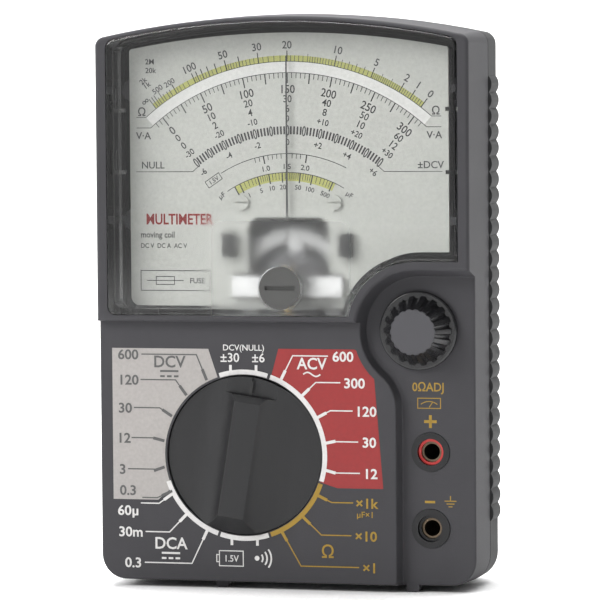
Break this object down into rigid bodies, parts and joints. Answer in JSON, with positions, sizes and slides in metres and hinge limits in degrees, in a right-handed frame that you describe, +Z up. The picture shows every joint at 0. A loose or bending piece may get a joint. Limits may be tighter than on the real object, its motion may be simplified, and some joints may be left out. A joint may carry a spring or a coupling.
{
  "type": "analog multimeter",
  "caption": "Handheld analog multimeter: wide clear cover over a moving-coil needle and scale, large round range switch, zero-ohm knob and front test jacks.",
  "frame": {"origin": "on the surface the feet stand on, at the middle of the width and of the depth", "axes": "+Z up the height towards the arched top, -Y out of the dial towards the reader, +X to the reader's right"},
  "size_m": [0.099, 0.041, 0.144],
  "materials": {
    "front_plastic": "fine grain",
    "rear_plastic": "fine grain",
    "steel": "zinc plated",
    "clear_plastic": "clear, polished",
    "scale_sheet": "printed satin",
    "black_plastic": "moulded",
    "magnet": "ground",
    "soft_iron": "plated",
    "aluminium": "satin",
    "copper": "enamelled copper",
    "pointer_paint": "matt black",
    "brass": "satin",
    "knob_plastic": "fine grain",
    "red_plastic": "moulded",
    "board_laminate": "phenolic laminate",
    "cell_jacket": "printed sleeve",
    "fuse_tube": "clear",
    "nickel": "nickel plated",
    "ceramic": "lacquered",
    "diode_glass": "moulded",
    "capacitor_sleeve": "sleeved",
    "trimmer_blue": "moulded"
  },
  "bodies": {
    "case": {"front_case": "front_plastic", "rear_case": "rear_plastic", "movement_frame": "rear_plastic", "case_screws": "steel", "movement_screws": "steel", "scale_plate_screws": "steel", "board_screws": "steel", "battery_contacts": "steel", "battery_springs": "steel", "meter_cover": "clear_plastic", "scale_plate": "scale_sheet", "pointer_stops": "black_plastic", "jack_wells": "black_plastic", "jack_sleeve_black": "black_plastic", "buzzer": "black_plastic", "pot_body": "black_plastic", "detent_ring": "black_plastic", "magnet_core": "magnet", "yoke_ring": "soft_iron", "core_straps": "aluminium", "front_bridge": "aluminium", "rear_bridge": "aluminium", "contact_tracks": "copper", "hairspring_rear": "brass", "jewel_screws": "brass", "jack_sockets": "brass", "meter_terminals": "brass", "fuse_clips": "brass", "jack_sleeve_red": "red_plastic", "circuit_board": "board_laminate", "cells": "cell_jacket", "fuse_glass": "fuse_tube", "fuse_caps": "nickel", "resistors": "ceramic", "diodes": "diode_glass", "capacitors": "capacitor_sleeve", "trimmers": "trimmer_blue"},
    "range_switch": {"range_knob": "knob_plastic", "selector_rotor": "black_plastic", "rotor_screw": "steel", "detent_balls": "steel", "detent_springs": "steel", "wiper_contacts": "brass"},
    "ohm_control": {"ohm_knob": "knob_plastic", "pot_shaft": "aluminium"},
    "adjuster": {"zero_adjuster": "knob_plastic"},
    "lever": {"zero_lever": "brass", "hairspring_front": "brass"},
    "needle": {"pointer": "pointer_paint", "moving_coil": "copper", "coil_pivots": "steel", "balance_weights": "brass"}
  },
  "joints": [
    {"name": "range_select", "type": "hinge", "parent": "case", "child": "range_switch", "pos_m": [-0.0105, -0.0142, 0.0337], "axis": [0, 1, 0], "continuous": true},
    {"name": "ohm_zero_turn", "type": "hinge", "parent": "case", "child": "ohm_control", "pos_m": [0.034, -0.0168, 0.0652], "axis": [0, 1, 0], "range_deg": [-135, 135]},
    {"name": "zero_adjust", "type": "hinge", "parent": "case", "child": "adjuster", "pos_m": [0, -0.0186, 0.0758], "axis": [0, 1, 0], "range_deg": [-25, 25]},
    {"name": "lever_turn", "type": "hinge", "parent": "case", "child": "lever", "pos_m": [0, -0.0105, 0.0758], "axis": [0, 1, 0], "range_deg": [-25, 25]},
    {"name": "needle_swing", "type": "hinge", "parent": "case", "child": "needle", "pos_m": [0, 0, 0.0758], "axis": [0, 1, 0], "range_deg": [-43, 43], "stiffness_Nm_per_rad": 0.002}
  ],
  "couplings": [
    {"joint": "lever_turn", "follows": "zero_adjust", "ratio": 1}
  ]
}
